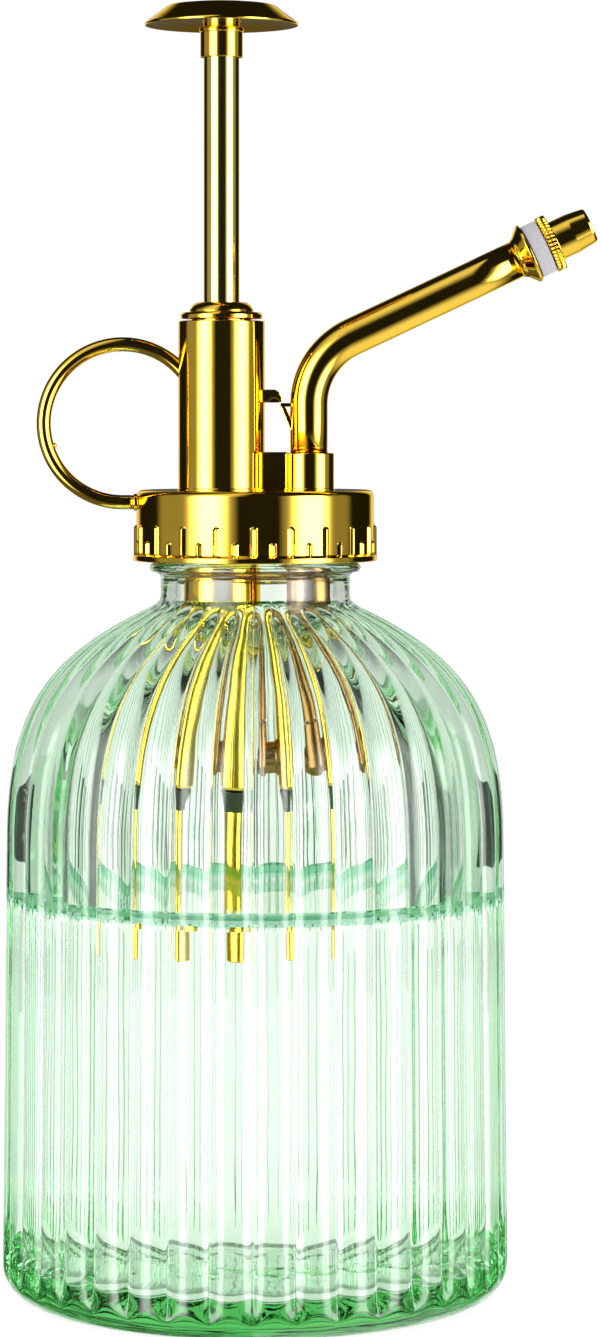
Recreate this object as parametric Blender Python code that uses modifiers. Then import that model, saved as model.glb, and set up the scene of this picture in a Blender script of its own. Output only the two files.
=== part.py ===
"""Hand mister: a fluted glass bottle with a screw-on pump head, a thumb plunger and a bent spout.

Lengths in this file are millimetres, turned into metres by MM as the meshes are made.
The origin is the centre of the bottle's base. +Z is up and +X points along the spout.
"""
import math

import bmesh
import bpy
from mathutils import Vector

MM = 0.001
REST_GAP = 0.3  # between two pieces that rest on each other
FIT_GAP = 0.15  # between a piece and the hole it is pushed into
THROUGH = 1.0  # how far a cutter runs past the face it opens
WELD_DISTANCE = 0.000005  # metres

# Bottle
FLUTES = 38
FLUTE_DEPTH = 1.2
GROOVE_RUN_OUT = 1.5  # height over which the grooves fade out below the neck
BASE_FLAT_R = 34.0
HEEL_R = 5.0
BODY_R = 39.0
SHOULDER_Z = 72.0
SHOULDER_R = 38.4
NECK_R = 14.6
NECK_FOOT_Z = 105.8
MOUTH_Z = 119.6
MOUTH_R = 12.4
BEAD_R = 16.3
BEAD_Z = 110.9
BEAD_THICK = 1.3
FLOOR_Z = 4.6
FLOOR_FILLET_R = 8.0
GLASS_WALL = 3.4

# Screw thread between the neck and the cap
THREAD_PITCH = 3.6
THREAD_Z = 113.9
NECK_THREAD_R = 14.9
NECK_THREAD_WIRE = 0.95
CAP_THREAD_R = 16.5
CAP_THREAD_WIRE = 0.9

# Cap
CAP_R = 18.35
CAP_TOP_Z = 123.5
CAP_CEILING_Z = 121.0
CAP_CORNER_R = 1.4
CAP_BORE_R = 16.3
LIP_R = 18.85
LIP_Z = 112.6
LIP_THICK = 0.9
RIB_PAIRS = 20
RIB_R = 0.75
TALL_RIB_TOP_Z = 118.2
SHORT_RIB_TOP_Z = 115.7

# Pump cylinder, plunger and knob
PUMP_X = -5.2
SLEEVE_R = 6.67
SLEEVE_TOP_Z = 149.6
BARREL_R = 6.0
BARREL_UPPER_R = 5.7
BARREL_BORE_R = 4.8
BARREL_FLOOR_Z = 80.6
BARREL_FOOT_Z = 77.5
ROD_R = 2.76
ROD_BORE_R = 2.95
PISTON_R = 4.65
PISTON_TOP_Z = 145.7
PISTON_HEIGHT = 7.0
SPRING_R = 3.9
SPRING_WIRE = 0.4
SPRING_TURNS = 9
KNOB_R = 11.9
KNOB_FLAT_R = 8.2
KNOB_UNDER_Z = 195.2
KNOB_TOP_Z = 198.8
COLLAR_R = 3.3
COLLAR_Z = 190.3

# Outlet: cross passage, riser and spout
SPOUT_X = 8.3
SOCKET_R = 3.9
SOCKET_TOP_Z = 129.2
CROSS_Z = 82.2
CROSS_R = 2.55
CROSS_BORE_R = 1.4
CROSS_END_X = 12.0
RISER_R = 3.5
RISER_BORE_R = 2.5
RISER_FOOT_Z = 88.0
OUTLET_SEAT_Z = 91.0
OUTLET_BALL_R = 1.8
PIPE_R = 2.9
PIPE_TIP_R = 2.5
PIPE_BORE_R = 1.6
PIPE_FOOT_Z = 124.0
BEND_Z = 136.7
BEND_R = 11.5
SPOUT_RISE = math.radians(25.2)
SPOUT_LENGTH = 30.28  # from the end of the bend to the flange
FLANGE_R = 4.7

# Inlet valve and dip tube
INLET_BALL_R = 1.5
DIP_TUBE_R = 3.3
DIP_TUBE_FOOT_Z = 52.0

# Finger ring
RING_X = -20.5
RING_Z = 133.8
RING_R = 12.2
RING_WIRE = 1.1

PUMP_STEPS = 28
SMALL_STEPS = 20
GOLD = ((0.83, 0.62, 0.13), 0.12, 1.0)
PALE_GOLD = ((0.80, 0.74, 0.50), 0.15, 1.0)
STEEL = ((0.62, 0.62, 0.60), 0.25, 1.0)
RUBBER = ((0.03, 0.03, 0.03), 0.70, 0.0)
WHITE_PLASTIC = ((0.74, 0.72, 0.76), 0.35, 0.0)
OLIVE_PLASTIC = ((0.10, 0.14, 0.05), 0.40, 0.0)
GREEN_GLASS = ((0.62, 0.88, 0.68), 0.03, 0.0)


def clear_scene():
    for obj in list(bpy.data.objects):
        bpy.data.objects.remove(obj, do_unlink=True)


def new_collection(name):
    collection = bpy.data.collections.new(name)
    bpy.context.scene.collection.children.link(collection)
    return collection


clear_scene()
PARTS = new_collection("hand_mister")
CUTTERS = new_collection("cutters")


def paint(obj, look):
    """Gives an object its own material, from a colour, a roughness and a metallic value."""
    colour, roughness, metallic = look
    material = bpy.data.materials.new(obj.name)
    material.use_nodes = True
    shader = material.node_tree.nodes["Principled BSDF"]
    shader.inputs["Base Color"].default_value = (*colour, 1.0)
    shader.inputs["Roughness"].default_value = roughness
    shader.inputs["Metallic"].default_value = metallic
    obj.data.materials.clear()
    obj.data.materials.append(material)


def place(obj, parent, look):
    """Links an object as a part, or as a hidden cutter when it has no look, under its parent."""
    if look is None:
        CUTTERS.objects.link(obj)
        obj.hide_render = True
        obj.display_type = "WIRE"
    else:
        PARTS.objects.link(obj)
        paint(obj, look)
    obj.parent = parent
    return obj


def axis_empty(name, location=(0.0, 0.0, 0.0), tilt=0.0, parent=None):
    """An empty on a joint's axis; tilt leans its +Z towards +X."""
    empty = bpy.data.objects.new(name, None)
    PARTS.objects.link(empty)
    empty.location = Vector(location) * MM
    empty.rotation_euler = (0.0, tilt, 0.0)
    empty.parent = parent
    return empty


def turned(name, outline, parent, look=None, steps=SMALL_STEPS, closed=True, x=0.0):
    """Turns an outline of (radius, height) points about its own upright axis at x."""
    mesh = bpy.data.meshes.new(name)
    points = [(radius * MM, 0.0, height * MM) for radius, height in outline]
    edges = [(i, i + 1) for i in range(len(points) - 1)]
    if closed:
        edges.append((len(points) - 1, 0))
    mesh.from_pydata(points, edges, [])
    obj = bpy.data.objects.new(name, mesh)
    screw = obj.modifiers.new("turn", "SCREW")
    screw.steps = steps
    screw.render_steps = steps
    screw.use_merge_vertices = True
    screw.merge_threshold = 0.00001
    screw.use_smooth_shade = True
    obj.location.x = x * MM
    return place(obj, parent, look)


def rod(name, radius, low, high, parent, look=None, steps=SMALL_STEPS, x=0.0):
    """A plain upright cylinder between two heights."""
    outline = [(0.0, high), (radius, high), (radius, low), (0.0, low)]
    return turned(name, outline, parent, look, steps, closed=False, x=x)


def ring_outline(inner, outer, low, high):
    return [(inner, high), (outer, high), (outer, low), (inner, low)]


def baked(obj, parent, look=None):
    """Replaces a curve or a modified object by its plain mesh, with its loose caps welded."""
    bpy.context.view_layer.update()
    graph = bpy.context.evaluated_depsgraph_get()
    mesh = bpy.data.meshes.new_from_object(obj.evaluated_get(graph))
    work = bmesh.new()
    work.from_mesh(mesh)
    bmesh.ops.remove_doubles(work, verts=work.verts, dist=0.00001)
    bmesh.ops.recalc_face_normals(work, faces=work.faces)
    work.to_mesh(mesh)
    work.free()
    name = obj.name
    offset = obj.location.copy()
    bpy.data.objects.remove(obj, do_unlink=True)
    plain = bpy.data.objects.new(name, mesh)
    plain.location = offset
    return place(plain, parent, look)


def wire(name, points, radii, parent, look=None, resolution=2):
    """A round wire through points; radii is one radius or one for each point."""
    if not isinstance(radii, list):
        radii = [radii] * len(points)
    curve = bpy.data.curves.new(name, "CURVE")
    curve.dimensions = "3D"
    curve.bevel_depth = MM
    curve.bevel_resolution = resolution
    curve.use_fill_caps = True
    spline = curve.splines.new("POLY")
    spline.points.add(len(points) - 1)
    for target, point, radius in zip(spline.points, points, radii):
        target.co = (*(Vector(point) * MM), 1.0)
        target.radius = radius
    obj = bpy.data.objects.new(name, curve)
    PARTS.objects.link(obj)
    return baked(obj, parent, look)


def helix(radius, pitch, low, start_turn, end_turn, points_per_turn):
    """Points of a right-handed helix that passes height low at turn 0."""
    count = round((end_turn - start_turn) * points_per_turn)
    points = []
    for i in range(count + 1):
        turn = start_turn + (end_turn - start_turn) * i / count
        angle = 2.0 * math.pi * turn
        points.append((radius * math.cos(angle), radius * math.sin(angle), low + pitch * turn))
    return points


def arc(centre_r, centre_z, radius, start, end, count):
    """Outline points on an arc; angles in degrees, 0 towards +radius and 90 up."""
    points = []
    for i in range(count + 1):
        angle = math.radians(start + (end - start) * i / count)
        points.append((centre_r + radius * math.cos(angle), centre_z + radius * math.sin(angle)))
    return points


def block(name, low, high, parent, look=None):
    """A box between two corners."""
    mesh = bpy.data.meshes.new(name)
    work = bmesh.new()
    bmesh.ops.create_cube(work, size=1.0)
    for vert in work.verts:
        for axis in range(3):
            vert.co[axis] = (high[axis] if vert.co[axis] > 0.0 else low[axis]) * MM
    work.to_mesh(mesh)
    work.free()
    return place(bpy.data.objects.new(name, mesh), parent, look)


def flat_cut(name, outlines, half_thick, parent, look=None):
    """A plate in the XZ plane from closed outlines of (x, z); later outlines are holes."""
    curve = bpy.data.curves.new(name, "CURVE")
    curve.dimensions = "2D"
    curve.fill_mode = "BOTH"
    curve.extrude = half_thick * MM
    for outline in outlines:
        spline = curve.splines.new("POLY")
        spline.points.add(len(outline) - 1)
        spline.use_cyclic_u = True
        for target, point in zip(spline.points, outline):
            target.co = (point[0] * MM, point[1] * MM, 0.0, 1.0)
    obj = bpy.data.objects.new(name, curve)
    PARTS.objects.link(obj)
    plate = baked(obj, parent, look)
    plate.rotation_euler = (math.pi / 2.0, 0.0, 0.0)
    return plate


def joined(name, objects, parent):
    """Makes one hidden mesh of several closed bodies that don't meet."""
    bpy.context.view_layer.update()
    graph = bpy.context.evaluated_depsgraph_get()
    work = bmesh.new()
    for obj in objects:
        mesh = bpy.data.meshes.new_from_object(obj.evaluated_get(graph))
        mesh.transform(obj.matrix_world)
        work.from_mesh(mesh)
        bpy.data.meshes.remove(mesh)
        bpy.data.objects.remove(obj, do_unlink=True)
    mesh = bpy.data.meshes.new(name)
    work.to_mesh(mesh)
    work.free()
    return place(bpy.data.objects.new(name, mesh), parent, None)


def combine(obj, operation, others):
    """Joins or cuts with each other object in turn, and welds the doubled points each step leaves."""
    for other in others:
        step = obj.modifiers.new(f"{operation.lower()} {other.name}", "BOOLEAN")
        step.operation = operation
        step.solver = "EXACT"
        step.object = other
        weld = obj.modifiers.new(f"weld {other.name}", "WELD")
        weld.merge_threshold = WELD_DISTANCE


def ball(name, radius, height, x, parent, look):
    mesh = bpy.data.meshes.new(name)
    work = bmesh.new()
    bmesh.ops.create_uvsphere(work, u_segments=12, v_segments=8, radius=radius * MM)
    for face in work.faces:
        face.smooth = True
    work.to_mesh(mesh)
    work.free()
    obj = bpy.data.objects.new(name, mesh)
    obj.location = (x * MM, 0.0, height * MM)
    return place(obj, parent, look)


def seated(ball_r, hole_r, seat_z):
    """Height of a ball's centre when it rests on a round hole's edge, a hair clear of it."""
    return seat_z + math.sqrt(ball_r**2 - hole_r**2) + 0.06


def shoulder(inset, count):
    """The bottle's round shoulder from the neck's foot down to the body, moved in by inset."""
    start = Vector((NECK_R + 0.8, NECK_FOOT_Z))
    first = Vector((NECK_R + 16.8, NECK_FOOT_Z - 7.4))
    second = Vector((SHOULDER_R - 0.6, SHOULDER_Z + 18.9))
    end = Vector((SHOULDER_R, SHOULDER_Z))
    points = []
    for i in range(count + 1):
        t = i / count
        s = 1.0 - t
        point = s**3 * start + 3 * s * s * t * first + 3 * s * t * t * second + t**3 * end
        along = 3 * s * s * (first - start) + 6 * s * t * (second - first) + 3 * t * t * (end - second)
        normal = Vector((-along.y, along.x)).normalized()
        point -= normal * inset
        points.append((point.x, point.y))
    return points


def cut_flutes(mesh):
    """Pushes the grooves between the flutes in, fading out at the neck's foot and at the heel."""
    normals = [vert.normal.copy() for vert in mesh.vertices]
    for vert, normal in zip(mesh.vertices, normals):
        height = vert.co.z / MM
        faces_outward = normal.x * vert.co.x + normal.y * vert.co.y > 0.0
        if height > NECK_FOOT_Z or not faces_outward:
            continue
        fade = min(1.0, (NECK_FOOT_Z - height) / GROOVE_RUN_OUT, height / HEEL_R)
        angle = math.atan2(vert.co.y, vert.co.x) + math.pi / 2.0
        groove = 0.5 + 0.5 * math.cos(FLUTES * angle)
        vert.co -= normal * (FLUTE_DEPTH * MM * fade * groove)


def glass_bottle(parent):
    inner_body_r = BODY_R - GLASS_WALL
    outline = [(0.0, FLOOR_Z), (inner_body_r - FLOOR_FILLET_R - 1.0, FLOOR_Z)]
    outline += arc(inner_body_r - FLOOR_FILLET_R, FLOOR_Z + FLOOR_FILLET_R, FLOOR_FILLET_R, -60.0, 0.0, 2)
    outline += reversed(shoulder(GLASS_WALL, 6))
    outline += [(MOUTH_R, NECK_FOOT_Z + 1.5), (MOUTH_R, MOUTH_Z), (NECK_R, MOUTH_Z)]
    outline += [(NECK_R, BEAD_Z + BEAD_THICK), (BEAD_R, BEAD_Z + BEAD_THICK), (BEAD_R, BEAD_Z)]
    outline += [(NECK_R, BEAD_Z), (NECK_R, NECK_FOOT_Z + 1.0)]
    outline += shoulder(0.0, 8)
    outline += arc(BODY_R - HEEL_R, HEEL_R, HEEL_R, 0.0, -90.0, 3)
    outline += [(0.0, 0.0)]
    blank = turned("glass_bottle", outline, parent, GREEN_GLASS, steps=2 * FLUTES, closed=False)
    bottle = baked(blank, parent, GREEN_GLASS)
    cut_flutes(bottle.data)
    route = helix(NECK_THREAD_R, THREAD_PITCH, THREAD_Z, 0.0, 1.25, 24)
    thread = wire("neck_thread", route, NECK_THREAD_WIRE, parent, resolution=1)
    combine(bottle, "UNION", [thread])


def neck_gasket(parent):
    low = MOUTH_Z + 0.2
    outline = ring_outline(MOUTH_R + 0.2, NECK_R + 1.2, low, CAP_CEILING_Z - 0.2)
    turned("neck_gasket", outline, parent, RUBBER, steps=PUMP_STEPS)


def cap_ribs(parent):
    """Upright ribs round the cap, tall and short in turn, with a pointed top."""
    ribs = []
    centre_r = LIP_R - 0.1 - RIB_R
    for i in range(2 * RIB_PAIRS):
        top = TALL_RIB_TOP_Z if i % 2 == 0 else SHORT_RIB_TOP_Z
        outline = [(0.0, top), (RIB_R, top - RIB_R), (RIB_R, LIP_Z + 0.4), (0.0, LIP_Z + 0.4)]
        rib = turned("rib", outline, parent, steps=5, closed=False)
        angle = math.pi * i / RIB_PAIRS - math.pi / 2.0
        rib.location = Vector((centre_r * math.cos(angle), centre_r * math.sin(angle), 0.0)) * MM
        rib.rotation_euler.z = angle
        ribs.append(rib)
    return joined("cap_ribs", ribs, parent)


def pump_head(parent):
    """Cap, pump cylinder, spout socket, web and latch, all one moulding."""
    corner = arc(CAP_R - CAP_CORNER_R, CAP_TOP_Z - CAP_CORNER_R, CAP_CORNER_R, 90.0, 0.0, 3)
    outline = [(0.0, CAP_TOP_Z), *corner, (CAP_R, LIP_Z + LIP_THICK + 0.2)]
    outline += [(LIP_R, LIP_Z + LIP_THICK), (LIP_R, LIP_Z), (CAP_BORE_R, LIP_Z)]
    outline += [(CAP_BORE_R, CAP_CEILING_Z), (0.0, CAP_CEILING_Z)]
    head = turned("pump_head", outline, parent, GOLD, steps=60, closed=False)

    under = CAP_CEILING_Z + 1.0
    outline = [(0.0, SLEEVE_TOP_Z), (SLEEVE_R - 0.4, SLEEVE_TOP_Z), (SLEEVE_R, SLEEVE_TOP_Z - 0.4)]
    outline += [(SLEEVE_R, under), (0.0, under)]
    sleeve = turned("sleeve", outline, parent, steps=PUMP_STEPS, closed=False, x=PUMP_X)
    outline = [(0.0, SOCKET_TOP_Z), (SOCKET_R - 0.4, SOCKET_TOP_Z), (SOCKET_R, SOCKET_TOP_Z - 0.4)]
    outline += [(SOCKET_R, under), (0.0, under)]
    socket = turned("socket", outline, parent, closed=False, x=SPOUT_X)
    web_end = SPOUT_X - SOCKET_R + 1.0
    web = block("web", (PUMP_X, -1.5, under), (web_end, 1.5, SOCKET_TOP_Z + 0.2), parent)
    latch_root = (PUMP_X + SLEEVE_R - 1.0, -1.2, 137.0)
    latch = block("latch", latch_root, (3.9, 1.2, 139.0), parent)
    boss = rod("ring_boss", 1.2, 17.0, 18.9, parent, steps=12)
    boss.rotation_euler = (0.0, -math.pi / 2.0, 0.0)
    boss.location.z = (RING_Z - RING_R) * MM
    route = helix(CAP_THREAD_R, THREAD_PITCH, THREAD_Z - THREAD_PITCH / 2.0, 0.55, 1.35, 24)
    thread = wire("cap_thread", route, CAP_THREAD_WIRE, parent, resolution=1)
    combine(head, "UNION", [cap_ribs(parent), sleeve, socket, web, latch, boss, thread])

    barrel_bore = rod("barrel_bore", BARREL_UPPER_R + FIT_GAP, CAP_CEILING_Z - THROUGH,
                      SLEEVE_TOP_Z + THROUGH, parent, steps=PUMP_STEPS, x=PUMP_X)
    riser_bore = rod("riser_bore", RISER_R + FIT_GAP, CAP_CEILING_Z - THROUGH, 122.4, parent, x=SPOUT_X)
    passage = rod("passage", PIPE_BORE_R, 122.0, PIPE_FOOT_Z, parent, x=SPOUT_X)
    pipe_bore = rod("pipe_bore", PIPE_R + FIT_GAP, PIPE_FOOT_Z - REST_GAP,
                    SOCKET_TOP_Z + THROUGH, parent, x=SPOUT_X)
    combine(head, "DIFFERENCE", [barrel_bore, riser_bore, passage, pipe_bore])


def finger_ring(parent):
    """An open ring whose ends meet the pump cylinder and the boss on the cap."""
    start = math.radians(42.0)
    sweep = math.radians(270.0) - start
    points = []
    for i in range(29):
        angle = start + sweep * i / 28
        points.append((RING_X + RING_R * math.cos(angle), 0.0, RING_Z + RING_R * math.sin(angle)))
    points.append((-18.9 - REST_GAP, 0.0, RING_Z - RING_R))
    hoop = wire("finger_ring", points, RING_WIRE, parent, GOLD)
    cylinder = rod("cylinder_clearance", SLEEVE_R + FIT_GAP, CAP_TOP_Z, SLEEVE_TOP_Z, parent,
                   steps=PUMP_STEPS, x=PUMP_X)
    combine(hoop, "DIFFERENCE", [cylinder])


def gland_nut(parent):
    """Domed bush that closes the pump cylinder and guides the rod."""
    shelf = SLEEVE_TOP_Z + REST_GAP
    dome_r = 5.05
    outline = [(ROD_BORE_R, 152.5), *arc(dome_r - 1.4, 151.1, 1.4, 90.0, 0.0, 2)]
    outline += [(dome_r, 150.9), (6.2, 150.9), (6.3, 150.7), (6.3, shelf)]
    outline += [(BARREL_BORE_R - FIT_GAP, shelf), (BARREL_BORE_R - FIT_GAP, PISTON_TOP_Z + REST_GAP)]
    outline += [(ROD_BORE_R, PISTON_TOP_Z + REST_GAP), (ROD_BORE_R, 147.2), (4.0, 147.2)]
    outline += [(4.0, 148.6), (ROD_BORE_R, 148.6)]
    turned("gland_nut", outline, parent, GOLD, steps=PUMP_STEPS, x=PUMP_X)


def rod_seal(parent):
    outline = ring_outline(ROD_R + 0.09, 3.85, 147.35, 148.45)
    turned("rod_seal", outline, parent, RUBBER, x=PUMP_X)


def pump_barrel(parent):
    """Pump cylinder liner with the cross passage and the riser's spigot moulded on."""
    step_z = CAP_CEILING_Z - REST_GAP
    outline = [(BARREL_BORE_R, 149.3), (BARREL_UPPER_R, 149.3), (BARREL_UPPER_R, step_z)]
    outline += [(BARREL_R, step_z), (BARREL_R, BARREL_FOOT_Z + 0.3), (BARREL_R - 0.3, BARREL_FOOT_Z)]
    outline += [(3.55, BARREL_FOOT_Z), (3.55, BARREL_FLOOR_Z - 1.0), (1.0, BARREL_FLOOR_Z - 1.0)]
    outline += [(1.0, BARREL_FLOOR_Z), (BARREL_BORE_R, BARREL_FLOOR_Z)]
    barrel = turned("pump_barrel", outline, parent, GOLD, steps=PUMP_STEPS, x=PUMP_X)

    cross = rod("cross_passage", CROSS_R, PUMP_X + BARREL_BORE_R + 0.6, CROSS_END_X, parent)
    outline = [(0.0, OUTLET_SEAT_Z), (RISER_BORE_R - FIT_GAP, OUTLET_SEAT_Z)]
    outline += [(RISER_BORE_R - FIT_GAP, RISER_FOOT_Z), (RISER_R, RISER_FOOT_Z)]
    outline += [(RISER_R, CROSS_Z - 1.5), (RISER_R - 1.2, CROSS_Z - 2.9), (0.0, CROSS_Z - 2.9)]
    boss = turned("riser_boss", outline, parent, closed=False, x=SPOUT_X)
    cross_bore = rod("cross_bore", CROSS_BORE_R, PUMP_X + 3.0, CROSS_END_X + THROUGH, parent, steps=16)
    for piece in (cross, cross_bore):
        piece.rotation_euler = (0.0, math.pi / 2.0, 0.0)
        piece.location.z = CROSS_Z * MM
    riser_hole = rod("riser_hole", 1.3, CROSS_Z, OUTLET_SEAT_Z + THROUGH, parent, steps=16, x=SPOUT_X)
    combine(barrel, "UNION", [cross, boss])
    combine(barrel, "DIFFERENCE", [cross_bore, riser_hole])


def cross_plug(parent):
    """Push-in plug that closes the outer end of the cross passage."""
    shank_r = CROSS_BORE_R - 0.1
    outline = [(0.0, 12.9), (1.9, 12.9), (2.2, 12.6), (2.2, CROSS_END_X + REST_GAP)]
    outline += [(shank_r, CROSS_END_X + REST_GAP), (shank_r, 10.2), (0.0, 10.2)]
    plug = turned("cross_plug", outline, parent, GOLD, steps=16, closed=False)
    plug.rotation_euler = (0.0, math.pi / 2.0, 0.0)
    plug.location.z = CROSS_Z * MM


def riser_tube(parent):
    outline = ring_outline(RISER_BORE_R, RISER_R, RISER_FOOT_Z + REST_GAP, 122.2)
    turned("riser_tube", outline, parent, GOLD, x=SPOUT_X)


def outlet_valve(stop_parent, ball_parent):
    """A ball that lets liquid rise into the riser, and the ring that limits its lift."""
    turned("outlet_ball_stop", ring_outline(1.1, RISER_BORE_R - 0.1, 95.7, 96.7), stop_parent,
           WHITE_PLASTIC, steps=16, x=SPOUT_X)
    height = seated(OUTLET_BALL_R, 1.3, OUTLET_SEAT_Z)
    ball("outlet_ball", OUTLET_BALL_R, height, SPOUT_X, ball_parent, STEEL)


def inlet_valve(body_parent, ball_parent):
    """The tapered fitting under the barrel: ball chamber above, dip tube socket below."""
    step_z = BARREL_FOOT_Z - REST_GAP
    sleeve_r = DIP_TUBE_R + 0.6
    outline = [(2.2, 79.3), (3.4, 79.3), (3.4, step_z), (5.6, step_z), (5.6, 76.9), (sleeve_r, 74.6)]
    outline += [(sleeve_r, 73.9), (DIP_TUBE_R + FIT_GAP, 73.9), (DIP_TUBE_R + FIT_GAP, 75.2)]
    outline += [(0.9, 75.2), (0.9, 75.9), (2.2, 75.9)]
    turned("inlet_valve_body", outline, body_parent, OLIVE_PLASTIC, x=PUMP_X)
    ball("inlet_ball", INLET_BALL_R, seated(INLET_BALL_R, 0.9, 75.9), PUMP_X, ball_parent, STEEL)


def dip_tube(parent):
    outline = ring_outline(DIP_TUBE_R - 0.8, DIP_TUBE_R, DIP_TUBE_FOOT_Z, 74.9)
    turned("dip_tube", outline, parent, GOLD, steps=16, x=PUMP_X)


def return_spring(parent):
    """Coil spring between the barrel's floor and the piston."""
    low = BARREL_FLOOR_Z + REST_GAP + SPRING_WIRE
    high = PISTON_TOP_Z - PISTON_HEIGHT - REST_GAP - SPRING_WIRE
    pitch = (high - low) / SPRING_TURNS
    points = helix(SPRING_R, pitch, low, 0.0, SPRING_TURNS, 10)
    coil = wire("return_spring", points, SPRING_WIRE, parent, STEEL)
    coil.location.x = PUMP_X * MM


def plunger(parent):
    """Piston, its ring and screw, the rod, the collar and the knob."""
    foot = PISTON_TOP_Z - PISTON_HEIGHT
    outline = [(1.65, PISTON_TOP_Z), (PISTON_R, PISTON_TOP_Z), (PISTON_R, 143.4), (3.8, 143.4)]
    outline += [(3.8, 141.0), (PISTON_R, 141.0), (PISTON_R, foot), (1.65, foot)]
    turned("piston", outline, parent, WHITE_PLASTIC, steps=PUMP_STEPS)
    turned("piston_ring", ring_outline(3.9, BARREL_BORE_R - 0.08, 141.2, 143.2), parent, RUBBER,
           steps=PUMP_STEPS)

    screw_r = 0.9
    outline = [(0.0, 197.2), (ROD_R - 0.3, 197.2), (ROD_R, 196.9), (ROD_R, PISTON_TOP_Z + REST_GAP)]
    outline += [(1.5, PISTON_TOP_Z + REST_GAP), (1.5, 139.0), (screw_r + FIT_GAP, 139.0)]
    outline += [(screw_r + FIT_GAP, 144.5), (0.0, 144.5)]
    turned("plunger_rod", outline, parent, PALE_GOLD, closed=False)
    outline = [(0.0, 144.0), (screw_r, 144.0), (screw_r, foot - REST_GAP), (2.6, foot - REST_GAP)]
    outline += [(2.6, foot - 1.2), (1.8, foot - 1.8), (0.0, foot - 1.8)]
    turned("piston_screw", outline, parent, STEEL, steps=16, closed=False)

    outline = [(ROD_R + FIT_GAP, KNOB_UNDER_Z - REST_GAP), (COLLAR_R + 0.15, KNOB_UNDER_Z - REST_GAP)]
    outline += [(COLLAR_R + 0.15, 194.3), (COLLAR_R, 194.3), (COLLAR_R, COLLAR_Z)]
    outline += [(ROD_R + FIT_GAP, COLLAR_Z)]
    turned("knob_collar", outline, parent, GOLD)

    outline = [(0.0, KNOB_TOP_Z), (KNOB_FLAT_R * 0.6, KNOB_TOP_Z - 0.15)]
    outline += [(KNOB_FLAT_R, KNOB_TOP_Z - 0.45), (KNOB_R, KNOB_UNDER_Z + 0.5)]
    outline += [(KNOB_R, KNOB_UNDER_Z), (ROD_R + FIT_GAP, KNOB_UNDER_Z)]
    outline += [(ROD_R + FIT_GAP, 197.5), (0.0, 197.5)]
    turned("knob", outline, parent, GOLD, steps=48, closed=False)


def spout_route(start_z, straight, points_in_bend):
    """Centreline of the spout: upright, round the bend, then straight for a length."""
    sweep = math.pi / 2.0 - SPOUT_RISE
    points = [(SPOUT_X, 0.0, start_z)]
    for i in range(points_in_bend + 1):
        angle = sweep * i / points_in_bend
        across = BEND_R * (1.0 - math.cos(angle))
        points.append((SPOUT_X + across, 0.0, BEND_Z + BEND_R * math.sin(angle)))
    end = Vector(points[-1])
    points.append(tuple(end + Vector((math.cos(SPOUT_RISE), 0.0, math.sin(SPOUT_RISE))) * straight))
    return points


def flange_centre():
    return spout_route(BEND_Z - 1.0, SPOUT_LENGTH, 8)[-1]


def nozzle_pipe(parent, spout_axis):
    """Bent spout with a latch lug on its upright part and a flared flange at its tip."""
    points = spout_route(PIPE_FOOT_Z, SPOUT_LENGTH - 1.0, 8)
    radii = [PIPE_R] * (len(points) - 1) + [PIPE_TIP_R]
    pipe = wire("nozzle_pipe", points, radii, parent, GOLD, resolution=6)
    outline = [(0.0, 0.25), (FLANGE_R, 0.25), (FLANGE_R, -0.25), (PIPE_TIP_R + 0.1, -1.9)]
    outline += [(0.0, -1.9)]
    flare = turned("flare", outline, spout_axis, steps=SMALL_STEPS, closed=False)
    lug_outline = [(3.9, 136.7), (3.9, 136.3), (5.6, 132.8), (6.6, 132.8), (6.6, 136.7)]
    lug_hole = [(4.5, 136.3), (5.2, 136.3), (5.2, 134.8)]
    lug = flat_cut("latch_lug", [lug_outline, lug_hole], 1.2, parent)
    bore_route = spout_route(PIPE_FOOT_Z - THROUGH, SPOUT_LENGTH + 0.25 + THROUGH, 8)
    bore = wire("pipe_passage", bore_route, PIPE_BORE_R, parent, resolution=2)
    combine(pipe, "UNION", [flare, lug])
    combine(pipe, "DIFFERENCE", [bore])


def nozzle_core(spout_axis):
    """White insert: a spigot pushed into the spout, a flange, and the spindle for the tip."""
    hole_r = 0.7
    outline = [(hole_r, 7.6), (1.7, 7.6), (1.7, 2.85), (4.25, 2.85), (4.25, 0.55)]
    outline += [(PIPE_BORE_R - FIT_GAP, 0.55), (PIPE_BORE_R - FIT_GAP, -3.0), (hole_r, -3.0)]
    turned("nozzle_core", outline, spout_axis, WHITE_PLASTIC)


def nozzle_seal(spout_axis):
    turned("nozzle_seal", ring_outline(1.78, 2.3, 5.2, 6.1), spout_axis, RUBBER, steps=16)


def nozzle_cap(spout_axis):
    """Knurled tip that is screwed in or out to change the spray."""
    knurl_low = 2.85 + REST_GAP
    knurl_high = 4.5
    tip = 10.55
    outline = [(0.4, tip - 0.9), (1.3, tip - 0.5), (1.9, tip), (2.6, tip), (2.85, tip - 0.3)]
    outline += [(3.1, 7.5), (3.1, knurl_high), (4.45, knurl_high), (4.45, knurl_low)]
    outline += [(1.9, knurl_low), (1.9, 5.0), (2.45, 5.0), (2.45, 6.3), (1.9, 6.3)]
    outline += [(1.9, 8.6), (0.4, 8.6)]
    turned("nozzle_cap", outline, spout_axis, GOLD)


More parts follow.
